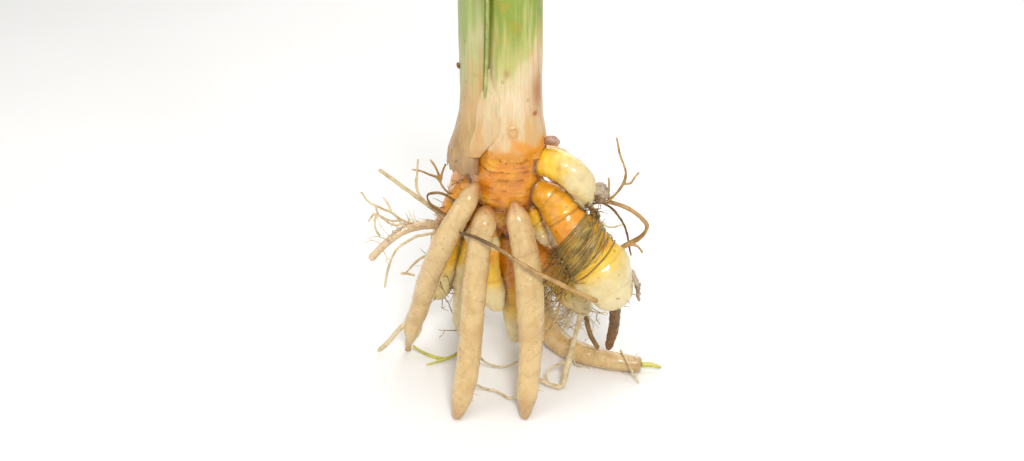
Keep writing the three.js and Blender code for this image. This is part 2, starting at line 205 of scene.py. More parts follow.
dotPick = between(blotches, addNode(blotches, "SeparateColor", {0: dots.outputs["Color"]}).outputs[0], 0.62, 0.7)
dotShare = maths(blotches, "MULTIPLY", maths(blotches, "MULTIPLY", dotMask, dotPick), entry["Freckle amount"])
patched = mixed(blotches, patchShare, entry["Base"], entry["Patch"])
freckled = mixed(blotches, dotShare, patched, entry["Freckle"])
blotches.links.new(freckled, leave["Color"])
blotches.links.new(maths(blotches, "ADD", patchShare, dotShare), leave["Mask"])

# fine uneven skin as a height, drawn out along Z where stretch is under one
skinGrain, entry, leave = newGroup(
    "skinGrain",
    {
        "Stretch": ("NodeSocketVector", (1.0, 1.0, 1.0)),
        "Coarse per metre": ("NodeSocketFloat", 300.0),
        "Fine per metre": ("NodeSocketFloat", 1500.0),
        "Fine amount": ("NodeSocketFloat", 0.4),
    },
    {"Height": "NodeSocketFloat"},
)
objectSpace = addNode(skinGrain, "TexCoord").outputs["Object"]
place = addNode(skinGrain, "VectorMath", {0: objectSpace, 1: entry["Stretch"]}, operation="MULTIPLY").outputs[0]
coarse = addNode(skinGrain, "TexNoise", {"Vector": place, "Scale": entry["Coarse per metre"], "Detail": 4.0}).outputs[0]
fine = addNode(skinGrain, "TexNoise", {"Vector": place, "Scale": entry["Fine per metre"], "Detail": 3.0}).outputs[0]
fineShare = maths(skinGrain, "MULTIPLY", fine, entry["Fine amount"])
skinGrain.links.new(maths(skinGrain, "ADD", coarse, fineShare), leave["Height"])


def newMaterial(name, scatter=0.0, coat=0.0, coatRoughness=0.12, specular=0.5):
    made = bpy.data.materials.new(name)
    made.use_nodes = True
    tree = made.node_tree
    shader = tree.nodes["Principled BSDF"]
    shader.inputs["Subsurface Weight"].default_value = scatter
    shader.inputs["Subsurface Radius"].default_value = (1.0, 0.55, 0.2)
    shader.inputs["Subsurface Scale"].default_value = 0.0018
    shader.inputs["Coat Weight"].default_value = coat
    shader.inputs["Coat Roughness"].default_value = coatRoughness
    shader.inputs["Specular IOR Level"].default_value = specular
    return made, tree, shader


def closeMaterial(tree, shader, colour, roughness, height, strength, distance):
    bump = addNode(tree, "Bump", {"Height": height, "Strength": strength, "Distance": distance})
    tree.links.new(colour, shader.inputs["Base Color"])
    tree.links.new(roughness, shader.inputs["Roughness"])
    tree.links.new(bump.outputs[0], shader.inputs["Normal"])


# ---- mesh helpers

def readPlaces(mesh):
    place = np.empty(len(mesh.vertices) * 3, np.float32)
    mesh.vertices.foreach_get("co", place)
    return place.reshape(-1, 3).astype(float)


def writePlaces(mesh, place):
    mesh.vertices.foreach_set("co", place.astype(np.float32).ravel())
    mesh.update()


def readEdges(mesh):
    ends = np.empty(len(mesh.edges) * 2, np.int32)
    mesh.edges.foreach_get("vertices", ends)
    return ends.reshape(-1, 2)


def readNormals(mesh):
    normal = np.empty(len(mesh.vertices) * 3, np.float32)
    mesh.vertex_normals.foreach_get("vector", normal)
    return normal.reshape(-1, 3).astype(float)


def keep(mesh, name, values):
    made = mesh.attributes.new(name, "FLOAT", "POINT")
    made.data.foreach_set("value", np.asarray(values, np.float32))


def relax(place, edges, rounds, fixed=None):
    # every point moves half way to the middle of its neighbours, again and again
    ends = np.concatenate([edges[:, 0], edges[:, 1]])
    others = np.concatenate([edges[:, 1], edges[:, 0]])
    count = np.maximum(np.bincount(ends, minlength=len(place)), 1)[:, None]
    for turn in range(rounds):
        sums = [np.bincount(ends, place[others, axis], len(place)) for axis in range(3)]
        step = (np.stack(sums, 1) / count - place) * 0.5
        if fixed is not None:
            step[fixed] = 0
        place = place + step
    return place


def grain(place, size, octaves=3, shift=0.0, squeeze=(1, 1, 1)):
    # soft noise of about -1 to 1, with lumps of the given size in metres
    scaled = place * np.array(squeeze) / size + shift
    return np.array([noise.fractal(Vector(p), 1.0, 2.0, octaves) for p in scaled])


def eased(value, low, high):
    t = np.clip((value - low) / (high - low), 0, 1)
    return t * t * (3 - 2 * t)


def travelled(place, edges, starts):
    # the way along the surface from the start points to each point, in metres
    lengths = np.linalg.norm(place[edges[:, 0]] - place[edges[:, 1]], axis=1)
    near = [[] for _ in place]
    for (a, b), length in zip(edges.tolist(), lengths.tolist()):
        near[a].append((b, length))
        near[b].append((a, length))
    way = [1e9] * len(place)
    queue = [(0.0, int(s)) for s in starts]
    for _, s in queue:
        way[s] = 0.0
    heapq.heapify(queue)
    while queue:
        done, point = heapq.heappop(queue)
        if done > way[point]:
            continue
        for other, length in near[point]:
            if done + length < way[other]:
                way[other] = done + length
                heapq.heappush(queue, (way[other], other))
    return np.array(way)


def mergedCopy(node, name):
    # the CAD solid's loose triangles as one closed mesh in an object of its own
    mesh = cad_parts[node].data.copy()
    mesh.materials.clear()
    work = bmesh.new()
    work.from_mesh(mesh)
    bmesh.ops.remove_doubles(work, verts=work.verts, dist=0.002 * mm)
    work.to_mesh(mesh)
    work.free()
    piece = bpy.data.objects.new(name, mesh)
    bpy.context.scene.collection.objects.link(piece)
    return piece


def settled(piece):
    # the object's modifiers are made part of its mesh
    depsgraph = bpy.context.evaluated_depsgraph_get()
    mesh = bpy.data.meshes.new_from_object(piece.evaluated_get(depsgraph))
    piece.modifiers.clear()
    piece.data = mesh
    mesh.name = piece.name
    for face in mesh.polygons:
        face.use_smooth = True
    return mesh


def evenSkin(node, name, voxel, rounds, swell, fixed=None):
    # a copy of the CAD solid with a fine even mesh and its facets worn away
    piece = mergedCopy(node, name)
    remesh = piece.modifiers.new("evenMesh", "REMESH")
    remesh.mode = "VOXEL"
    remesh.voxel_size = voxel
    mesh = settled(piece)
    place = readPlaces(mesh)
    edges = readEdges(mesh)
    held = fixed(place) if fixed else None
    place = relax(place, edges, rounds, held)
    writePlaces(mesh, place)
    push = readNormals(mesh) * swell
    if held is not None:
        push[held] = 0
    writePlaces(mesh, place + push)
    return piece


def finished(piece, slot, material, *nodes):
    piece.data.materials.clear()
    piece.data.materials.append(material)
    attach(piece, "root")
    if nodes:
        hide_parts(*nodes)
    triangles = sum(len(face.vertices) - 2 for face in piece.data.polygons)
    print("made", piece.name, triangles, "triangles")


# ---- rhizome

# each finger's middle line as x, y, z and radius in mm, from the mother out to its tip,
# how many mm of its tip are cream, how brown its body is and how strongly it is ringed
fingers = {
    "mother": {
        "way": [(-2.2, 0.6, 103.5, 12.8), (-2.5, 0.6, 91, 13.3), (-3.5, 0.6, 80, 13.6), (-4.1, 0.6, 73, 13),
                (-4.3, 0.6, 66, 10.5), (-4.3, -0.4, 58, 5.5)],
        "cream": 0, "brown": 0.45, "rings": 1.0, "ringEvery": 4.2,
    },
    "upperRight": {
        "way": [(1.3, 0.6, 83, 5.2), (11.3, -5.4, 87.5, 5.6), (18.8, -8.4, 85.5, 6), (24.3, -9.4, 79.5, 5.7),
                (26.8, -9.4, 72.5, 4.4)],
        "cream": 17, "brown": 0.12, "rings": 0.25, "ringEvery": 5.5,
    },
    "largeRight": {
        "way": [(1.3, 0.6, 75, 4.8), (11.3, -7.4, 75, 5.6), (18.8, -12.4, 67, 7.6), (26.3, -15.4, 56, 9.6),
                (33.3, -17.4, 45, 11), (37.8, -17.9, 33.5, 8.2)],
        "cream": 19, "brown": 0.12, "rings": 0.5, "plump": 1.5, "ringEvery": 6.5,
    },
    "smallRight": {
        "way": [(2.3, -2.4, 71, 2.8), (5.8, -5.4, 67, 3.1), (8.8, -7.4, 60, 3.2), (11.8, -8.4, 53.5, 2.4)],
        "cream": 9, "brown": 0.1, "rings": 1.0, "ringEvery": 3.6,
    },
    "left": {
        "way": [(-10.7, 1.6, 77, 4.8), (-20.2, 4.6, 69, 5.4), (-25.7, 6.6, 54, 5.8), (-29.3, 7.1, 37, 6.4),
                (-32.2, 7.1, 19, 5.4)],
        "cream": 20, "brown": 0.1, "rings": 0.12, "ringEvery": 5.0,
    },
    "lowLeft": {
        "way": [(-9.7, 3.6, 66, 4.6), (-15.2, 4.1, 48, 5.6), (-18.2, 3.6, 28, 6.8), (-19.7, 2.6, 12, 6.3),
                (-20.7, 1.6, 2, 3)],
        "cream": 38, "brown": 0.05, "rings": 0.12, "ringEvery": 6.0,
    },
    "centre": {
        "way": [(-6.7, -0.4, 66, 3.6), (-9.7, -2.9, 54, 3.8), (-10.5, -3.9, 42, 4.2), (-9.5, -4.9, 31, 5),
                (-6.9, -5.9, 22, 4)],
        "cream": 14, "brown": 0.12, "rings": 0.25, "ringEvery": 5.0,
    },
    "lowRight": {
        "way": [(-3.7, 4.6, 63, 3.6), (-3.2, 3.6, 46, 4.4), (-1.7, 2.1, 29, 5), (-0.7, 1.1, 13, 4.6),
                (-0.1, 0.6, 2.2, 2.6)],
        "cream": 16, "brown": 0.12, "rings": 0.3, "ringEvery": 6.0,
    },
    "under": {
        "way": [(-0.7, 4.6, 66, 3.8), (6.3, 6.1, 49, 3.8), (13.3, 3.6, 37, 4.8), (21.3, 0.6, 27, 5.8),
                (29.3, -2.4, 18.5, 4.2)],
        "cream": 11, "brown": 0.4, "rings": 0.5, "ringEvery": 4.0,
    },
    "backLeft": {
        "way": [(-7.7, 5.6, 80, 5.2), (-14.7, 15.6, 76, 6.4), (-19.2, 21.6, 63, 7.4), (-21.7, 24.1, 49, 7.2),
                (-22.2, 24.6, 38, 4.4)],
        "cream": 14, "brown": 0.25, "rings": 0.5, "ringEvery": 5.5,
    },
    "back": {
        "way": [(-2.7, 6.6, 78, 5.4), (-1.2, 17.6, 73, 6.6), (-0.2, 24.6, 60, 7.4), (-0.7, 26.6, 46, 5)],
        "cream": 10, "brown": 0.35, "rings": 0.5, "ringEvery": 5.0,
    },
    "backRight": {
        "way": [(3.3, 4.6, 82, 5), (12.3, 12.6, 80, 5.8), (19.8, 17.6, 70, 6.8), (23.3, 19.6, 58, 6.4),
                (24.3, 20.1, 49, 4)],
        "cream": 16, "brown": 0.2, "rings": 0.5, "ringEvery": 5.5,
    },
}
# pale buds on the fingers: x, y, z and radius in mm
buds = [(-7.3, -6.0, 53, 2.4), (-19.9, 0.8, 53, 2.8), (-30.3, 2.8, 49.5, 2.6), (-26.7, 2.2, 30, 1.8), (3.3, 33.2, 57, 2.8)]
rhizomeShape = {
    "voxel": 0.62 * mm, "wear": 26, "swell": 0.24 * mm, "lump": 0.42 * mm, "dimple": 0.14 * mm,
    "groove": 0.34 * mm, "lip": 0.3 * mm, "nubs": 170,
}


def middleLine(way, pieces=9):
    # a smooth line through the stations, as points and radii
    stations = np.array(way) * mm
    slopes = np.gradient(stations, axis=0)
    t = np.linspace(0, 1, pieces, endpoint=False)[:, None]
    parts = []
    for i in range(len(stations) - 1):
        a, b = stations[i], stations[i + 1]
        blend = (2 * t**3 - 3 * t**2 + 1) * a + (t**3 - 2 * t**2 + t) * slopes[i]
        parts.append(blend + (3 * t**2 - 2 * t**3) * b + (t**3 - t**2) * slopes[i + 1])
    parts.append(stations[-1:])
    line = np.concatenate(parts)
    return line[:, :3], line[:, 3]


def nearestFinger(place):
    # for each point: its finger, how far along it and how far from its tip it is, and how much
    # nearer it is to that finger's skin than to the next one's
    names = list(fingers)
    gaps = np.empty((len(names), len(place)))
    alongs = np.empty_like(gaps)
    totals = np.empty(len(names))
    for row, name in enumerate(names):
        line, radii = middleLine(fingers[name]["way"])
        steps = np.linalg.norm(np.diff(line, axis=0), axis=1)
        arc = np.concatenate([[0], np.cumsum(steps)])
        tangent = np.gradient(line, axis=0)
        tangent /= np.linalg.norm(tangent, axis=1, keepdims=True)
        offset = place[:, None, :] - line[None]
        closest = np.linalg.norm(offset, axis=2).argmin(1)
        every = np.arange(len(place))
        ahead = np.einsum("ij,ij->i", offset[every, closest], tangent[closest])
        gaps[row] = np.linalg.norm(offset[every, closest], axis=1) - radii[closest]
        alongs[row] = arc[closest] + ahead
        totals[row] = arc[-1]
    order = gaps.argsort(0)
    own = order[0]
    every = np.arange(len(place))
    seam = gaps[order[1], every] - gaps[own, every]
    along = alongs[own, every]
    return own, along, totals[own] - along, seam


def makeRhizome():
    shape = rhizomeShape
    piece = evenSkin("rhizome", "rhizome_flesh", shape["voxel"], shape["wear"], shape["swell"])
    mesh = piece.data
    place = readPlaces(mesh)
    own, along, left, seam = nearestFinger(place)
    names = list(fingers)
    wobble = grain(place, 7 * mm, 2) * 1.1 * mm
    past = np.zeros(len(place))
    for row, name in enumerate(names):
        member = own == row
        every = fingers[name]["ringEvery"] * mm
        # the rings stand at uneven gaps, from 0.45 to 1.5 times the finger's ring spacing
        rings = [-20 * mm]
        while rings[-1] < 130 * mm:
            rings.append(rings[-1] + every * rng.uniform(0.45, 1.5))
        rings = np.array(rings)
        where = along[member] + wobble[member]
        slot = np.clip(np.searchsorted(rings, where) - 1, 0, len(rings) - 1)
        past[member] = where - rings[slot]
    scar = np.exp(-((past / (0.42 * mm)) ** 2)) + np.exp(-(((past - 0.9 * mm) / (1.6 * mm)) ** 2)) * 0.15
    weak = eased(grain(place, 5 * mm, 2, 9.0), -0.5, 0.25)
    scar = scar * (0.35 + 0.65 * weak)
    lip = np.exp(-(((past - 1.1 * mm) / (0.7 * mm)) ** 2)) * (0.3 + 0.7 * weak)
    brown = np.array([fingers[n]["brown"] for n in names])[own]
    plump = np.array([fingers[n].get("plump", 0) for n in names])[own] * mm
    ringed = np.array([fingers[n]["rings"] for n in names])[own]
    scar = scar * ringed
    lip = lip * ringed
    large = own == names.index("largeRight")
    scar = np.maximum(scar, large * np.exp(-(((along + wobble * 0.4 - 23 * mm) / (0.45 * mm)) ** 2)) * 0.9)
    lip = np.maximum(lip, large * np.exp(-(((along + wobble * 0.4 - 21.8 * mm) / (1.2 * mm)) ** 2)))
    inner = large * (1 - eased(along + wobble, 21 * mm, 24 * mm))
    brown = brown + inner * 0.22
    # the crease where two fingers meet: the skin is dented there, and the same mask is painted near-black brown in the
    # shader as painted shade
    shadedCrease = np.exp(-((seam / (1.1 * mm)) ** 2))
    creamLength = np.array([fingers[n]["cream"] for n in names], float)[own] * mm
    patchy = grain(place, 8 * mm, 3, 4.0)
    cream = 1 - eased(left + patchy * 4 * mm, creamLength - 5 * mm, creamLength + 4 * mm)
    cream = cream * (creamLength > 0)
    pale = np.zeros(len(place))
    for bud in buds:
        away = np.linalg.norm(place - np.array(bud[:3]) * mm, axis=1)
        pale = np.maximum(pale, 1 - eased(away, bud[3] * mm, bud[3] * mm + 1.2 * mm))
    cream = np.maximum(cream, pale)
    glow = eased(left + patchy * 5 * mm, creamLength + 0.5 * mm, creamLength + 17 * mm)
    glow = np.where(own == 0, 0.56 + patchy * 0.42, glow * (0.42 + 0.4 * brown) + patchy * 0.08 - inner * 0.2)
    # small round scars and nubs where roots were
    nub = np.zeros(len(place))
    rim = np.zeros(len(place))
    for point in rng.choice(len(place), shape["nubs"], replace=False):
        size = rng.uniform(0.6, 1.25) * mm
        away = np.linalg.norm(place - place[point], axis=1)
        nub = np.maximum(nub, np.exp(-((away / size) ** 2)) * rng.uniform(0.4, 1))
        rim = np.maximum(rim, np.exp(-(((away - 1.25 * size) / (0.3 * mm)) ** 2)))
    height = grain(place, 8 * mm, 2, 2.0) * shape["lump"] + grain(place, 2.4 * mm, 3, 6.0) * shape["dimple"]
    height += lip * shape["lip"] - np.clip(scar, 0, 1) * shape["groove"]
    height += nub * 0.42 * mm - rim * 0.04 * mm - shadedCrease * 0.25 * mm
    height += plump * (1 - eased(left, 14 * mm, 27 * mm))
    free = eased(place[:, 2], floorHeight + 1 * mm, floorHeight + 4 * mm)
    writePlaces(mesh, place + readNormals(mesh) * (height * free)[:, None])
    keep(mesh, "along", along + wobble)
    keep(mesh, "cream", cream)
    keep(mesh, "glow", np.clip(glow, 0, 1))
    keep(mesh, "brown", brown)
    keep(mesh, "ringed", ringed)
    keep(mesh, "scar", np.clip(scar, 0, 1))
    keep(mesh, "shadedCrease", shadedCrease)
    keep(mesh, "nub", np.clip(nub * 0.8 + rim * 0.2, 0, 1))
    return piece


flesh, tree, shader = newMaterial("wet_rhizome_flesh", scatter=0.22, coat=0.6, coatRoughness=0.08)
fleshStops = [(0.0, "ecc42e"), (0.28, "eeac1c"), (0.6, "e28c12"), (1.0, "b4560a")]
orange = ramp(tree, attribute(tree, "glow"), fleshStops)
creamy = useGroup(tree, blotches, {
    "Base": tint("e3d19c"), "Patch": tint("d6bc74"), "Freckle": tint("9b7a3a"), "Patch amount": 0.6,
    "Freckle amount": 0.35, "Patches per metre": 110.0, "Freckles per metre": 260.0})
body = useGroup(tree, blotches, {
    "Base": orange, "Patch": tint("d08a1a"), "Freckle": tint("7c3c08"), "Patch amount": 0.4,
    "Freckle amount": 0.5, "Patches per metre": 150.0, "Freckles per metre": 330.0})
skin = mixed(tree, attribute(tree, "cream"), body["Color"], creamy["Color"])
dull = useGroup(tree, blotches, {
    "Base": skin, "Patch": tint("8a5a1e"), "Freckle": tint("4a2a0c"), "Patch amount": 0.75,
    "Freckle amount": 0.4, "Patches per metre": 95.0, "Freckles per metre": 500.0})
dullShare = maths(tree, "MULTIPLY", attribute(tree, "brown"), 0.85)
skin = mixed(tree, dullShare, skin, dull["Color"])
rings = addNode(tree, "TexNoise", {"W": attribute(tree, "along"), "Scale": 900.0, "Detail": 3.0}, noise_dimensions="1D")
ringLine = between(tree, rings.outputs[0], 0.57, 0.66)
ringBreak = addNode(tree, "TexNoise", {"Vector": objectPlace(tree), "Scale": 160.0, "Detail": 3.0}).outputs[0]
ringLine = maths(tree, "MULTIPLY", ringLine, between(tree, ringBreak, 0.42, 0.62))
lineShare = maths(tree, "MULTIPLY", ringLine, between(tree, attribute(tree, "cream"), 0.2, 0.9, 0.42, 0.1))
lineShare = maths(tree, "MULTIPLY", lineShare, attribute(tree, "ringed"))
skin = mixed(tree, lineShare, skin, tint("7c4206"))
scarShare = maths(tree, "MULTIPLY", attribute(tree, "scar"), between(tree, attribute(tree, "cream"), 0.3, 1.0, 0.6, 0.25))
skin = mixed(tree, scarShare, skin, tint("6a3406"))
skin = mixed(tree, maths(tree, "MULTIPLY", attribute(tree, "nub"), 0.35), skin, tint("8a4c10"))
# painted shade: the creases where fingers meet are darkened to near-black brown
skin = mixed(tree, maths(tree, "MULTIPLY", attribute(tree, "shadedCrease"), 0.8), skin, tint("4a2006"))
grainHeight = useGroup(tree, skinGrain, {"Coarse per metre": 420.0, "Fine per metre": 1700.0, "Fine amount": 0.35})
ringHeight = maths(tree, "MULTIPLY", lineShare, -1.0)
height = maths(tree, "ADD", grainHeight["Height"], ringHeight)
wet = addNode(tree, "TexNoise", {"Vector": objectPlace(tree), "Scale": 210.0, "Detail": 3.0}).outputs[0]
closeMaterial(tree, shader, skin, between(tree, wet, 0.35, 0.7, 0.24, 0.5), height, 0.55, 0.35 * mm)

rhizome = makeRhizome()
finished(rhizome, "flesh", flesh, "rhizome")
print("stage: rhizome done")
fleshTree = BVHTree.FromPolygons(
    [v.co for v in rhizome.data.vertices], [tuple(f.vertices) for f in rhizome.data.polygons])


# ---- storage roots

storageLooks = {
    "voxel": 0.45 * mm, "wear": 24, "swell": 0.22 * mm, "wave": 0.34 * mm, "dimple": 0.07 * mm,
    "wrinkle": 0.07 * mm, "nubs": 34,
}


heads = {"storage_root_centre": 1.25, "storage_root_right": 0.5, "storage_root_left": 0.3}


def makeStorageRoot(node):
    look = storageLooks
    lowest = floorHeight + 0.25 * mm
    piece = evenSkin(node, node + "_skin", look["voxel"], look["wear"], look["swell"],
                     lambda place: place[:, 2] < lowest)
    mesh = piece.data
    place = readPlaces(mesh)
    edges = readEdges(mesh)
    gap = np.array([(fleshTree.find_nearest(Vector(p))[3] or 0) for p in place])
    starts = np.nonzero(gap < gap.min() + 0.8 * mm)[0]
    along = travelled(place, edges, starts)
    total = along.max()
    seed = len(node) * 3.7
    bands = np.array([noise.noise(Vector((a / (1.7 * mm), seed, 0.0))) for a in along])
    shape = grain(place, 11 * mm, 2, seed) * look["wave"] + grain(place, 2.2 * mm, 3, seed) * look["dimple"]
    around = grain(place, 3.2 * mm, 2, seed + 5)
    shape += np.clip(bands, -1, 0.2) * look["wrinkle"] * (1 + around)
    nub = np.zeros(len(place))
    for point in rng.choice(len(place), look["nubs"], replace=False):
        away = np.linalg.norm(place - place[point], axis=1)
        nub = np.maximum(nub, np.exp(-((away / (rng.uniform(0.35, 0.7) * mm)) ** 2)))
    shape += nub * 0.22 * mm
    shape += heads.get(node, 0) * mm * (1 - eased(along, 5 * mm, 16 * mm)) * eased(along, -2 * mm, 3 * mm)
    if node == "storage_root_left":
        # the body ends bluntly and a thin tail goes on from it
        back = total - along
        shape += 1.0 * mm * np.exp(-(((back - 15 * mm) / (5 * mm)) ** 2)) - 0.45 * mm * (1 - eased(back, 5 * mm, 10 * mm))
    free = eased(place[:, 2], floorHeight + 0.4 * mm, floorHeight + 2 * mm)
    writePlaces(mesh, place + readNormals(mesh) * (shape * free)[:, None])
    keep(mesh, "along", along)
    keep(mesh, "joint", 1 - eased(along, 0.5 * mm, 7 * mm))
    keep(mesh, "tip", eased(along, total - 11 * mm, total - 1 * mm))
    keep(mesh, "band", np.clip(-bands, 0, 1))
    keep(mesh, "nub", nub)
    return piece


def rootSkin(name, base, patch, tipColour):
    made, tree, shader = newMaterial(name, scatter=0.16, coat=0.55, coatRoughness=0.12)
    mottled = useGroup(tree, blotches, {
        "Base": tint(base), "Patch": tint(patch), "Freckle": tint("8d6436"), "Patch amount": 0.7,
        "Freckle amount": 0.3, "Patches per metre": 105.0, "Freckles per metre": 300.0})
    streak = addNode(tree, "TexNoise", {"Vector": objectPlace(tree, (1, 1, 0.16)), "Scale": 520.0, "Detail": 4.0}).outputs[0]
    skin = mixed(tree, between(tree, streak, 0.5, 0.72, 0.0, 0.22), mottled["Color"], tint("9c7434"))
    rings = addNode(tree, "TexNoise", {"W": attribute(tree, "along"), "Scale": 620.0, "Detail": 3.0}, noise_dimensions="1D")
    spread = addNode(tree, "TexNoise", {"Vector": objectPlace(tree), "Scale": 240.0, "Detail": 2.0}).outputs[0]
    ringLine = maths(tree, "MULTIPLY", between(tree, rings.outputs[0], 0.58, 0.68), between(tree, spread, 0.42, 0.62))
    skin = mixed(tree, maths(tree, "MULTIPLY", ringLine, 0.24), skin, tint("98703c"))
    skin = mixed(tree, maths(tree, "MULTIPLY", attribute(tree, "band"), 0.22), skin, tint("a57c40"))
    skin = mixed(tree, maths(tree, "MULTIPLY", attribute(tree, "tip"), 0.7), skin, tint(tipColour))
    skin = mixed(tree, maths(tree, "MULTIPLY", attribute(tree, "joint"), 0.75), skin, tint("a8641a"))
    skin = mixed(tree, maths(tree, "MULTIPLY", attribute(tree, "nub"), 0.35), skin, tint("8f6a3a"))
    grainHeight = useGroup(tree, skinGrain, {
        "Stretch": (1.0, 1.0, 0.35), "Coarse per metre": 500.0, "Fine per metre": 1900.0, "Fine amount": 0.4})
    height = maths(tree, "SUBTRACT", grainHeight["Height"], maths(tree, "MULTIPLY", ringLine, 0.5))
    wet = addNode(tree, "TexNoise", {"Vector": objectPlace(tree), "Scale": 170.0, "Detail": 3.0}).outputs[0]
    closeMaterial(tree, shader, skin, between(tree, wet, 0.35, 0.7, 0.22, 0.46), height, 0.45, 0.3 * mm)
    return made


tanSkin = rootSkin("tan_storage_root_skin", "d6b881", "c29c66", "ab8258")
paleSkin = rootSkin("pale_storage_root_skin", "d9bf9c", "c6a47c", "d2b890")
storageNodes = [
    "storage_root_left", "storage_root_centre", "storage_root_right", "storage_root_side",
    "storage_root_floor", "storage_root_back_left", "storage_root_back_right",
]
storagePieces = {}
for node in storageNodes:
    material = paleSkin if node == "storage_root_side" else tanSkin
    storagePieces[node] = makeStorageRoot(node)
    finished(storagePieces[node], "storage", material, node)
print("stage: storage roots done")


# ---- stem and leaf stalk

shootLooks = {
    "stem": {
        "voxel": 0.52 * mm, "wear": 22, "swell": 0.2 * mm, "rib": 0.13 * mm, "wave": 0.3 * mm,
        "layers": 1.75 * mm, "ragged": 2.2 * mm, "hollow": 0.0,
    },
    "outer_leaf_stalk": {
        "voxel": 0.46 * mm, "wear": 16, "swell": 0.15 * mm, "rib": 0.2 * mm, "wave": 0.3 * mm,
        "layers": 1.5 * mm, "ragged": 4.2 * mm, "hollow": 5.5 * mm,
    },
}


scarPlace = np.array([-1.4, -11.4, 102]) * mm
# brown stains on the stem: place and size in mm, and strength
stains = [
    ((7.4, -5.4, 115.5), (2.4, 5, 8), 1.1), ((6.4, -6.5, 107.8), (0.8, 3, 0.8), 1.6),
    ((-3.6, -9.4, 123.6), (1.1, 3, 1.6), 0.8), ((5, 8, 120), (2, 4, 6), 0.6), ((-6, 9, 108), (1.2, 3, 1.4), 1.0),
]


def makeShoot(node):
    look = shootLooks[node]
    low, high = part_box(node)
    top = high.z
    piece = evenSkin(node, node + "_sheath", look["voxel"], look["wear"], look["swell"],
                     lambda place: place[:, 2] > top - 0.3 * mm)
    mesh = piece.data
    place = readPlaces(mesh)
    normal = readNormals(mesh)
    topFace = (place[:, 2] > top - 0.6 * mm) & (normal[:, 2] > 0.6)
    place[place[:, 2] > top - 0.3 * mm, 2] = top
    upper = place[place[:, 2] > top - 20 * mm]
    middle = (upper.min(0) + upper.max(0)) / 2
    radial = (place - middle)[:, :2]
    # the walls: long ribs, slow waves and the edges of the sheaths that overlap
    side = eased(1 - np.abs(normal[:, 2]), 0.3, 0.7)
    ribs = grain(place, 1.15 * mm, 2, 3.0, (1, 1, 0.035))
    waves = grain(place, 9 * mm, 2, 8.0, (1, 1, 0.3))
    height = (ribs * look["rib"] + waves * look["wave"]) * side
    turn = np.arctan2(radial[:, 1], radial[:, 0])
    edge = np.zeros(len(place))
    step = np.zeros(len(place))
    for start, slope in ((2.35, 6.0), (-0.55, -5.0)):
        where = (turn - start - (place[:, 2] - 0.12) * slope + math.pi) % (2 * math.pi) - math.pi
        arc = where * np.linalg.norm(radial, axis=1)
        edge = np.maximum(edge, np.exp(-((arc / (0.5 * mm)) ** 2)))
        step += (1 - eased(arc, -0.5 * mm, 0.5 * mm)) * np.exp(-np.clip(-arc, 0, 1) / (7 * mm)) * 0.4 * mm
    height += (step - edge * 0.25 * mm) * side
    bottom = place[:, 2].min()
    near = 1 - eased(place[:, 2], bottom + 1 * mm, bottom + 11 * mm)
    pucker = grain(place, 2.6 * mm, 3, 5.0, (1, 1, 0.35))
    height += pucker * 0.28 * mm * near * side
    place = place + normal * (height * (place[:, 2] < top - 0.3 * mm))[:, None]
    # the foot is ragged, and hollow under the leaf stalk's skirt
    tear = grain(place, 3.4 * mm, 3, 12.0, (1, 1, 0))
    lowShare = 1 - eased(place[:, 2], bottom + 0.5 * mm, bottom + 9 * mm)
    place[:, 2] += np.clip(tear, -0.15, 1) * look["ragged"] * lowShare
    underside = eased(-normal[:, 2], 0.55, 0.9) * lowShare
    place[:, 2] += underside * look["hollow"]
    # the cut top shows the rolled sheaths as rings
    reach = np.linalg.norm(radial, axis=1)
    rolled = reach / look["layers"] + 0.55 * np.sin(turn + reach / (1.6 * mm)) + grain(place, 5 * mm, 2) * 0.7
    layers = 1 - (0.5 - 0.5 * np.cos(2 * math.pi * rolled)) ** 5
    pith = 1 - eased(reach, 1.2 * mm, 4 * mm)
    place[:, 2] -= topFace * ((1 - layers) * 0.3 + pith * 0.25 + grain(place, 1.2 * mm, 2) * 0.05) * mm
    if node == "stem":
        # the foot thins out on to the flesh, and an old root scar stands on the front
        for i in np.nonzero(place[:, 2] < bottom + 5 * mm)[0]:
            near_, facing = fleshTree.find_nearest(Vector(place[i]))[:2]
            share = 1 - eased(place[i, 2], bottom + 0.5 * mm, bottom + 5 * mm)
            place[i] = place[i] * (1 - share) + np.array(near_ + facing * 0.06 * mm) * share
        ring = np.linalg.norm((place - scarPlace)[:, [0, 2]], axis=1) + (place[:, 1] > 0)
        place[:, 1] -= (np.exp(-(((ring - 1.6 * mm) / (0.4 * mm)) ** 2)) * 0.5 + np.exp(-((ring / (0.6 * mm)) ** 2)) * 0.3) * mm
        keep(mesh, "scar", np.exp(-(((ring - 1.6 * mm) / (0.5 * mm)) ** 2)))
        keep(mesh, "stain", sum(
            strength * np.exp(-np.sum(((place - np.array(at) * mm) / (np.array(size) * mm)) ** 2, 1))
            for at, size, strength in stains))
    writePlaces(mesh, place)
    keep(mesh, "height", place[:, 2] - bottom)
    keep(mesh, "cutFace", topFace)
    keep(mesh, "layers", layers)
    keep(mesh, "edge", edge * side)
    keep(mesh, "foot", near)
    keep(mesh, "turn", radial[:, 0] / np.maximum(reach, 1e-6))
    return piece


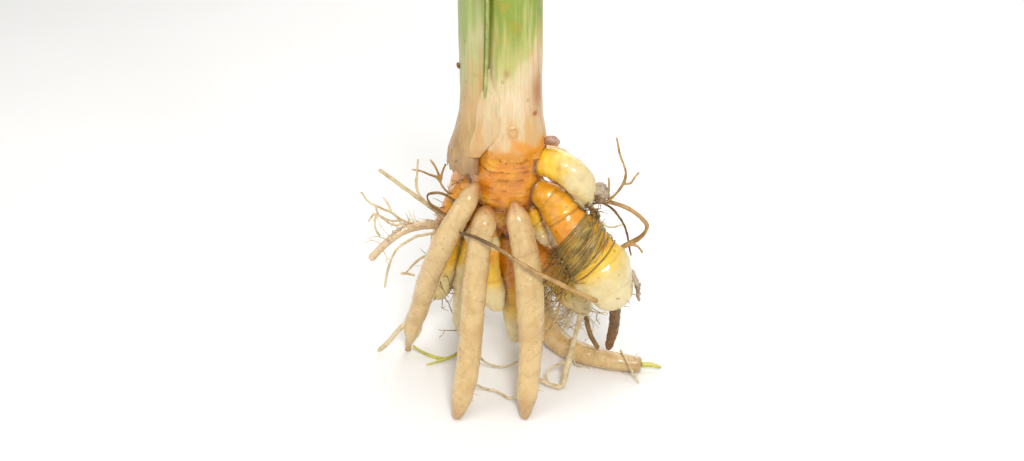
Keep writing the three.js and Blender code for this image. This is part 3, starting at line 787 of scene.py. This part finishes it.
def sheathSkin(name, stops, footColour, footShare, streakColour):
    made, tree, shader = newMaterial(name, scatter=0.14, coat=0.22, coatRoughness=0.2)
    wander = addNode(tree, "TexNoise", {"Vector": objectPlace(tree, (1, 1, 0.12)), "Scale": 260.0, "Detail": 4.0}).outputs[0]
    shifted = maths(tree, "ADD", attribute(tree, "height"), between(tree, wander, 0.3, 0.7, -0.008, 0.008))
    # the left of the stem turns green lower down than the right
    shifted = maths(tree, "SUBTRACT", shifted, maths(tree, "MULTIPLY", attribute(tree, "turn"), 0.005))
    base = ramp(tree, between(tree, shifted, 0.0, 0.068), stops)
    streak = addNode(tree, "TexNoise", {"Vector": objectPlace(tree, (1, 1, 0.022)), "Scale": 1500.0, "Detail": 3.0}).outputs[0]
    skin = mixed(tree, between(tree, streak, 0.45, 0.75, 0.0, 0.4), base, tint(streakColour))
    light = addNode(tree, "TexNoise", {"Vector": objectPlace(tree, (1, 1, 0.03)), "Scale": 820.0, "Detail": 2.0}).outputs[0]
    skin = mixed(tree, between(tree, light, 0.55, 0.8, 0.0, 0.3), skin, tint("ecdcb8"))
    spotted = useGroup(tree, blotches, {
        "Base": skin, "Patch": tint("d2ae80"), "Freckle": tint("8a5424"), "Patch amount": 0.28,
        "Freckle amount": 0.3, "Patches per metre": 70.0, "Freckles per metre": 230.0})
    footNoise = addNode(tree, "TexNoise", {"Vector": objectPlace(tree), "Scale": 130.0, "Detail": 4.0}).outputs[0]
    footEdge = maths(tree, "ADD", attribute(tree, "foot"), between(tree, footNoise, 0.3, 0.7, -0.35, 0.35))
    footMask = between(tree, footEdge, 0.15, 0.8, 0.0, footShare)
    skin = mixed(tree, footMask, spotted["Color"], tint(footColour))
    skin = mixed(tree, maths(tree, "MULTIPLY", attribute(tree, "stain"), 0.8), skin, tint("a8601c"))
    skin = mixed(tree, maths(tree, "MULTIPLY", attribute(tree, "scar"), 0.45), skin, tint("b87420"))
    skin = mixed(tree, maths(tree, "MULTIPLY", attribute(tree, "edge"), 0.5), skin, tint("8d7a42"))
    cut = ramp(tree, attribute(tree, "layers"), [(0.0, "9aa558"), (0.6, "bfc583"), (1.0, "cdd09a")])
    skin = mixed(tree, attribute(tree, "cutFace"), skin, cut)
    grainHeight = useGroup(tree, skinGrain, {
        "Stretch": (1.0, 1.0, 0.03), "Coarse per metre": 900.0, "Fine per metre": 2400.0, "Fine amount": 0.5})
    gloss = between(tree, wander, 0.35, 0.7, 0.3, 0.5)
    closeMaterial(tree, shader, skin, gloss, grainHeight["Height"], 0.5, 0.3 * mm)
    return made


stemSkin = sheathSkin(
    "stem_sheath_skin",
    [(0.0, "d6a866"), (0.12, "dac096"), (0.34, "dfcaa4"), (0.56, "d6c796"), (0.72, "b6b868"), (0.92, "7f9a2c")],
    "df8f16", 0.9, "bd9660")
stalkSkin = sheathSkin(
    "leaf_stalk_skin",
    [(0.0, "94734c"), (0.16, "b8945e"), (0.45, "c09c62"), (0.62, "b9a86c"), (0.8, "b0b47c"), (1.0, "96a65a")],
    "957250", 0.5, "97804c")
webSkin = sheathSkin(
    "sheath_web_skin",
    [(0.0, "cda26a"), (0.12, "d3b68a"), (0.34, "d8c298"), (0.56, "d0c08c"), (0.8, "b4b766"), (1.0, "7f9a30")],
    "c08a44", 0.4, "b3925e")
finished(makeShoot("stem"), "sheath", stemSkin, "stem")
finished(makeShoot("outer_leaf_stalk"), "leaf", stalkSkin, "outer_leaf_stalk")


def makeWeb():
    # the sheath that joins the leaf stalk to the stem, front and back, low down
    columns, rows = 13, 60
    lowest, highest = 0.0915, 0.124
    heights = np.linspace(lowest, highest, rows)
    work = bmesh.new()
    for facing in (-1, 1):
        seams = np.array([webSeam(height, facing) for height in heights])
        flat = np.pad(seams.reshape(rows, 6), ((6, 6), (0, 0)), "edge")
        seams = np.stack([flat[i : i + 13].mean(0) for i in range(rows)]).reshape(rows, 2, 3)
        grid = bmesh.ops.create_grid(work, x_segments=columns - 1, y_segments=rows - 1, size=1)["verts"]
        for row, height in enumerate(heights):
            left, right = Vector(seams[row, 0]), Vector(seams[row, 1])
            right = left.lerp(right, 0.3 + 0.7 * eased(height, lowest - 2 * mm, lowest + 11 * mm))
            spread = eased(height, highest - 13 * mm, highest)
            for column in range(columns):
                share = column / (columns - 1)
                point = left.lerp(right, share)
                point.z = height
                bow = math.sin(math.pi * share)
                ripple = 0.14 * noise.noise(Vector((share * 7, height * 90, facing)))
                point.y -= facing * (0.95 - 0.75 * bow + spread * bow * 3.4 + ripple) * mm
                grid[row * columns + column].co = point
    bmesh.ops.recalc_face_normals(work, faces=work.faces)
    bmesh.ops.solidify(work, geom=work.faces[:], thickness=0.4 * mm)
    bmesh.ops.recalc_face_normals(work, faces=work.faces)
    mesh = bpy.data.meshes.new("sheath_web")
    work.to_mesh(mesh)
    work.free()
    for face in mesh.polygons:
        face.use_smooth = True
    piece = bpy.data.objects.new("sheath_web", mesh)
    bpy.context.scene.collection.objects.link(piece)
    place = readPlaces(mesh)
    keep(mesh, "height", place[:, 2] - 0.091)
    for name in ("cutFace", "layers", "edge", "turn"):
        keep(mesh, name, np.zeros(len(place)))
    keep(mesh, "foot", 1 - eased(place[:, 2], lowest, lowest + 6 * mm))
    return piece


def webSeam(height, facing):
    # where a flat sheet laid over both would touch the leaf stalk and the stem at this height
    best = None
    for turn in range(-30, 31, 3):
        out = Vector((math.sin(math.radians(turn)), math.cos(math.radians(turn)) * facing, 0))
        ends = []
        for tree, guess in ((stalkPlaces, 0), (stemPlaces, 0)):
            near = tree[np.abs(tree[:, 2] - height) < 0.6 * mm]
            if not len(near):
                return None
            ends.append(near[(near @ np.array(out)).argmax()])
        lean = abs((ends[0] - ends[1]) @ np.array(out))
        if best is None or lean < best[0]:
            best = (lean, Vector(ends[0]), Vector(ends[1]), out)
    sink = best[3] * 0.1 * mm
    ends = [best[1] - sink, best[2] - sink]
    for end in ends:
        end.z = height
    return ends


stemPlaces = readPlaces(bpy.data.objects["stem_sheath"].data)
stalkPlaces = readPlaces(bpy.data.objects["outer_leaf_stalk_sheath"].data)
finished(makeWeb(), "sheath", webSkin)
print("stage: shoot done")


# ---- small solid pieces

def makeSmall(node, voxel, rounds, swell, crumple, size):
    piece = evenSkin(node, node + "_skin", voxel, rounds, swell)
    mesh = piece.data
    place = readPlaces(mesh)
    shape = grain(place, size, 3, len(node)) * crumple
    writePlaces(mesh, place + readNormals(mesh) * shape[:, None])
    return piece


def plainSkin(name, base, patch, freckle, roughness, coat, scatter=0.1, stretch=(1.0, 1.0, 0.2)):
    made, tree, shader = newMaterial(name, scatter=scatter, coat=coat)
    mottled = useGroup(tree, blotches, {
        "Base": tint(base), "Patch": tint(patch), "Freckle": tint(freckle), "Patch amount": 0.8,
        "Freckle amount": 0.5, "Patches per metre": 260.0, "Freckles per metre": 700.0})
    grainHeight = useGroup(tree, skinGrain, {
        "Stretch": stretch, "Coarse per metre": 1100.0, "Fine per metre": 3000.0, "Fine amount": 0.4})
    gloss = between(tree, grainHeight["Height"], 0.4, 1.0, roughness - 0.08, roughness + 0.1)
    skin = mixed(tree, attribute(tree, "dark"), mottled["Color"], tint("4a2e14"))
    closeMaterial(tree, shader, skin, gloss, grainHeight["Height"], 0.6, 0.25 * mm)
    return made


creamThread = plainSkin("cream_fine_root", "d9c8a0", "b39768", "7a5a30", 0.5, 0.1)
tanThread = plainSkin("tan_fine_root", "b9935a", "8a6430", "573718", 0.5, 0.1)
brownThread = plainSkin("brown_fine_root", "8a6a34", "5c3c1a", "36210f", 0.55, 0.1)
oliveThread = plainSkin("olive_dry_fibre", "948447", "66602c", "403412", 0.45, 0.25)
goldThread = plainSkin("gold_dry_fibre", "c29c48", "8f6a2a", "54391a", 0.42, 0.3)
yellowThread = plainSkin("yellow_root_core", "c9c355", "a89a3c", "6d5c22", 0.4, 0.2)
huskSkin = plainSkin("grey_husk", "b9a58e", "85694e", "4a3520", 0.45, 0.25, 0.25)
budSkin = plainSkin("grey_pink_bud", "bb9a86", "8f6a52", "5e4030", 0.5, 0.1, 0.15)
stubSkin = plainSkin("dark_brown_stub", "7c5220", "4a2e12", "2a180a", 0.42, 0.25)
stripSkin = plainSkin("torn_green_strip", "8f9c4a", "b8bd78", "5f6a2c", 0.35, 0.35, 0.2, (1.0, 1.0, 0.03))

smallPieces = {
    "side_bud": ("bud", budSkin, 0.22, 10, 0.08, 0.16, 1.4),
    "tip_husk": ("dry", huskSkin, 0.24, 8, 1.1, 1.3, 2.6),
    "stalk_scale": ("dry", stubSkin, 0.2, 6, 0.05, 0.2, 1.0),
    "brown_root_stub": ("dry", stubSkin, 0.3, 10, 0.08, 0.22, 2.0),
    "tip_scale": ("dry", huskSkin, 0.16, 3, 0.2, 0.5, 1.6),
    "root_core": ("core", yellowThread, 0.22, 8, 0.08, 0.08, 2.0),
    "torn_sheath_strip": ("leaf", stripSkin, 0.26, 6, 0.05, 0.16, 2.5),
}
for node, (slot, material, voxel, rounds, swell, crumple, size) in smallPieces.items():
    small = makeSmall(node, voxel * mm, rounds, swell * mm, crumple * mm, size * mm)
    finished(small, slot, material, node)


# ---- fine roots that the frame holds

fineRoots = {
    "straight_root": ("pale", creamThread), "crossing_root": ("dry", tanThread),
    "left_root_tuft": ("pale", creamThread), "left_upper_tuft": ("pale", tanThread),
    "left_climbing_root": ("pale", creamThread), "left_hooked_root": ("dry", brownThread),
    "left_hanging_root": ("pale", creamThread), "left_short_root": ("pale", creamThread),
    "pale_floor_root": ("pale", creamThread), "yellow_floor_root": ("core", yellowThread),
    "right_upper_root": ("pale", tanThread), "right_kinked_root": ("pale", tanThread),
    "right_thread_root": ("dry", brownThread), "white_bar_root": ("pale", creamThread),
    "forked_brown_root": ("dry", brownThread), "tan_thread_root": ("pale", tanThread),
    "right_floor_thread": ("pale", creamThread), "centre_rootlet_upper": ("pale", creamThread),
    "centre_rootlet_lower": ("pale", creamThread), "back_root_tuft": ("pale", tanThread),
    "back_right_tuft": ("pale", creamThread),
}


def makeFineRoot(node):
    # a rounded copy of the solid, knotted and a little crooked
    piece = mergedCopy(node, node + "_skin")
    mesh = piece.data
    writePlaces(mesh, readPlaces(mesh) + readNormals(mesh) * 0.09 * mm)
    rounding = piece.modifiers.new("rounding", "SUBSURF")
    rounding.levels = rounding.render_levels = 2
    mesh = settled(piece)
    place = readPlaces(mesh)
    knots = grain(place, 1.6 * mm, 2, len(node)) * 0.14 * mm
    place = place + readNormals(mesh) * knots[:, None]
    bend = np.stack([grain(place, 5 * mm, 2, shift) for shift in (1.0, 21.0, 41.0)], 1)
    place = place + bend * 0.22 * mm
    writePlaces(mesh, np.maximum(place, [-9, -9, floorHeight + 0.05 * mm]))
    if node == "crossing_root":
        keep(mesh, "dark", 0.85 * (1 - eased(place[:, 0], -14 * mm, 4 * mm)))
    return piece


for node, (slot, material) in fineRoots.items():
    finished(makeFineRoot(node), slot, material, node)
print("stage: fine roots done")


# ---- strands: dry fibres round the large finger, and hair-fine roots

def strandPiece(name, strands, slot, material, *nodes):
    # one mesh from many thin tapering strands, each a list of points and a list of radii in mm
    curve = bpy.data.curves.new(name, "CURVE")
    curve.dimensions = "3D"
    curve.bevel_depth = mm
    curve.bevel_resolution = 1
    curve.resolution_u = 2
    curve.use_fill_caps = True
    for points, radii in strands:
        spline = curve.splines.new("NURBS")
        spline.points.add(len(points) - 1)
        for target, point, radius in zip(spline.points, points, radii):
            target.co = (*point, 1)
            target.radius = radius
        spline.order_u = 3
        spline.use_endpoint_u = True
    source = bpy.data.objects.new(name + "_lines", curve)
    bpy.context.scene.collection.objects.link(source)
    depsgraph = bpy.context.evaluated_depsgraph_get()
    mesh = bpy.data.meshes.new_from_object(source.evaluated_get(depsgraph))
    bpy.data.objects.remove(source)
    work = bmesh.new()
    work.from_mesh(mesh)
    bmesh.ops.remove_doubles(work, verts=work.verts, dist=0.001 * mm)
    bmesh.ops.recalc_face_normals(work, faces=work.faces)
    work.to_mesh(mesh)
    work.free()
    for face in mesh.polygons:
        face.use_smooth = True
    mesh.name = name
    piece = bpy.data.objects.new(name, mesh)
    bpy.context.scene.collection.objects.link(piece)
    finished(piece, slot, material, *nodes)


bandLooks = {"strands": 66, "width": 9.5 * mm, "lift": 0.7 * mm, "loose": 22, "long": 40}


def makeBand():
    # fibres that wrap the large finger, in a slanting plane, some lifting off at their ends
    mesh = mergedCopy("fibre_band", "bandGuide")
    place = readPlaces(mesh.data)
    bpy.data.objects.remove(mesh)
    middle = (place.min(0) + place.max(0)) / 2
    line, radii = middleLine(fingers["largeRight"]["way"])
    closest = np.linalg.norm(line - middle, axis=1).argmin()
    axis = Vector(line[closest + 2] - line[closest - 2]).normalized()
    side = axis.cross(Vector((0, -1, 0))).normalized()
    front = side.cross(axis).normalized()
    middle = Vector(line[closest])
    strands = []
    for number in range(bandLooks["strands"]):
        loose = number < bandLooks["loose"]
        begin = rng.uniform(0, 2 * math.pi)
        sweep = rng.uniform(1.2, 3.4)
        offset = max(-0.7, min(0.7, rng.normal(0, 0.3))) * bandLooks["width"]
        lean = rng.normal(0.0, 1.9) * mm
        lift = rng.uniform(0.12, 1) * bandLooks["lift"]
        points = []
        count = 13
        for i in range(count):
            share = i / (count - 1)
            angle = begin + sweep * share
            out = side * math.cos(angle) + front * math.sin(angle)
            slant = 3.6 * mm * math.cos(angle)
            centre = middle + axis * (offset + slant + lean * (share - 0.5) * 2)
            hit = fleshTree.ray_cast(centre + out * 0.03, -out, 0.035)
            surface = hit[0] if hit[0] else centre + out * 10 * mm
            raised = lift
            if loose:
                raised += 4.5 * mm * max(0.0, share - 0.6) ** 1.5 * 3
            raised += 0.15 * mm * math.sin(share * 9 + number)
            points.append(surface + out * raised)
        thick = rng.uniform(0.13, 0.34)
        radii = [thick * (0.35 + 0.65 * math.sin(math.pi * min(1, max(0.06, i / (count - 1))))) for i in range(count)]
        strands.append((points, radii))
    # longer ones that come from the husk, cross the finger slantwise and go on behind the roots
    for number in range(bandLooks["long"]):
        share = rng.uniform(0, 1)
        start = Vector((25 + 4 * share, -12 + rng.normal(0, 1.2), 70 - 12 * share)) * mm
        end = Vector((7 + 8 * share + rng.normal(0, 1.5), -13 + rng.normal(0, 2), 44 - 11 * share)) * mm
        points = []
        for i in range(15):
            point = start.lerp(end, i / 14)
            ahead = point + Vector((0, -0.03, 0.015))
            hit = fleshTree.ray_cast(ahead, Vector((0, 0.894, -0.447)), 0.05)
            bow = math.sin(math.pi * i / 14)
            point += Vector((rng.normal(0, 0.25), -1.5 * bow, rng.normal(0, 0.25) - 1.5 * bow)) * mm
            if hit[0] and hit[0].y < point.y + 1 * mm:
                point = hit[0] + hit[1] * rng.uniform(0.25, 0.8) * mm
            points.append(point)
        thick = rng.uniform(0.12, 0.34)
        strands.append((points, [thick * (1 - 0.5 * i / 14) for i in range(15)]))
    for number in range(16):
        # loops that hang from the husk
        start = Vector((26.5, -11, 72)) * mm
        width = rng.uniform(1.5, 4.5) * mm
        drop = rng.uniform(5, 15) * mm
        points = []
        for i in range(11):
            angle = math.pi * i / 10
            off = Vector((width * math.sin(angle) + rng.normal(0, 0.3) * mm, rng.normal(0, 0.6) * mm, -drop * i / 10))
            points.append(start + off + Vector((rng.normal(0, 0.2), 0, 0)) * mm)
        thick = rng.uniform(0.13, 0.3)
        strands.append((points, [thick] * 11))
    kinds = [oliveThread, brownThread, goldThread]
    for kind, part in zip(kinds, ("olive", "brown", "gold")):
        chosen = strands[kinds.index(kind) :: 3]
        nodes = ["fibre_band"] if part == "olive" else []
        strandPiece("fibre_band_" + part + "_strands", chosen, "dry", kind, *nodes)


makeBand()


def wander(start, heading, length, steps, bend, drop):
    points = [Vector(start)]
    direction = Vector(heading).normalized()
    for i in range(steps):
        direction = direction + Vector(rng.normal(0, bend, 3)) + Vector((0, 0, -drop))
        direction.normalize()
        point = points[-1] + direction * length / steps
        point.z = max(point.z, floorHeight + 0.5 * mm)
        points.append(point)
    return points


def hairs(piece, count, low, high, facing, length, bend, drop, radius):
    # hair-fine roots from a piece's skin inside a box given in mm, facing a way
    mesh = piece.data
    place = readPlaces(mesh)
    normal = readNormals(mesh)
    inside = ((place > np.array(low) * mm) & (place < np.array(high) * mm)).all(1)
    inside &= normal @ np.array(facing) > 0.25
    chosen = np.nonzero(inside)[0]
    strands = []
    if not len(chosen):
        print("no place for hairs on", piece.name)
        return strands
    for point in rng.choice(chosen, count):
        reach = rng.uniform(*length) * mm
        steps = max(4, int(reach / (1.6 * mm)))
        heading = Vector(normal[point]) + Vector(rng.normal(0, 0.35, 3))
        start = Vector(place[point] - normal[point] * 0.3 * mm)
        points = wander(start, heading, reach, steps, bend, drop)
        thick = rng.uniform(*radius)
        strands.append((points, [thick * (1 - 0.6 * i / steps) for i in range(steps + 1)]))
        if reach > 7 * mm:
            fork = points[len(points) // 2]
            branch = wander(fork, points[-1] - fork + Vector(rng.normal(0, 0.6, 3)) * reach, reach * 0.45, 4, bend, drop)
            strands.append((branch, [thick * 0.6] * 5))
    return strands


down = (0.2, -0.3, -0.9)
front = (0.0, -0.8, -0.2)
floorRoot = storagePieces["storage_root_floor"]
rightRoot = storagePieces["storage_root_right"]
centreRoot = storagePieces["storage_root_centre"]
leftRoot = storagePieces["storage_root_left"]
sideRoot = storagePieces["storage_root_side"]
creamHairs = (
    hairs(floorRoot, 74, (2, -12, 2), (26, 20, 42), (0.5, -0.6, 0), (4, 13), 0.42, 0.16, (0.16, 0.36))
    + hairs(floorRoot, 22, (14, -20, 0), (52, 5, 9), (0, -0.7, 0.2), (2, 6), 0.4, 0.12, (0.09, 0.18))
    + hairs(rightRoot, 12, (4, -46, 4), (14, -15, 34), (1, 0, 0), (1.5, 5), 0.4, 0.1, (0.1, 0.2))
    + hairs(rightRoot, 5, (-4, -46, 4), (6, -15, 30), (-1, 0, 0), (1.5, 4), 0.4, 0.1, (0.1, 0.18))
    + hairs(centreRoot, 9, (-30, -46, 4), (0, -15, 45), (1, 0, 0), (1.2, 4), 0.4, 0.1, (0.1, 0.2))
    + hairs(sideRoot, 34, (-52, -20, 45), (-24, 8, 66), (0, -0.4, 0.7), (3, 9), 0.45, -0.04, (0.15, 0.3))
    + hairs(rhizome, 16, (-40, -5, 30), (-24, 12, 60), (-0.9, -0.3, 0), (3, 9), 0.4, 0.05, (0.15, 0.3))
    + hairs(rhizome, 36, (12, -12, 12), (34, 8, 30), down, (5, 15), 0.36, 0.2, (0.16, 0.36))
)
brownHairs = (
    hairs(rhizome, 34, (22, -16, 66), (34, -2, 78), (0.8, 0, -0.3), (4, 13), 0.5, 0.14, (0.12, 0.26))
    + hairs(rhizome, 40, (8, -16, 26), (32, 6, 52), (-0.4, -0.5, -0.6), (3, 10), 0.45, 0.12, (0.1, 0.22))
    + hairs(rhizome, 12, (-34, 0, 8), (-10, 12, 34), (0, -0.2, -0.8), (4, 13), 0.35, 0.1, (0.12, 0.24))
    + hairs(rhizome, 16, (30, -30, 22), (48, -8, 44), (0.6, -0.2, -0.6), (1.5, 5), 0.4, 0.1, (0.1, 0.2))
    + hairs(rhizome, 18, (-30, -4, 62), (-14, 12, 80), (-0.6, -0.4, 0.3), (2, 8), 0.45, 0.0, (0.1, 0.2))
    + hairs(rhizome, 34, (-30, 8, 34), (34, 40, 80), (0, 0.8, -0.2), (3, 12), 0.4, 0.1, (0.1, 0.22))
)
strandPiece("cream_hair_roots", creamHairs, "pale", creamThread)
strandPiece("brown_hair_roots", brownHairs, "dry", brownThread)
print("stage: hair roots done")


# ---- floor

work = bmesh.new()
bmesh.ops.create_grid(work, x_segments=1, y_segments=1, size=4)
floorMesh = bpy.data.meshes.new("floor")
work.to_mesh(floorMesh)
work.free()
floor = bpy.data.objects.new("floor", floorMesh)
bpy.context.scene.collection.objects.link(floor)
paper, tree, shader = newMaterial("pale_floor")
tone = addNode(tree, "TexNoise", {"Vector": objectPlace(tree), "Scale": 9.0, "Detail": 2.0}).outputs[0]
paperColour = mixed(tree, tone, tint("ecebe8"), tint("f1f0ee"))
closeMaterial(tree, shader, paperColour, between(tree, tone, 0.3, 0.7, 0.62, 0.7), tone, 0.02, 0.2 * mm)
floorMesh.materials.append(paper)

print("stage: finishing")
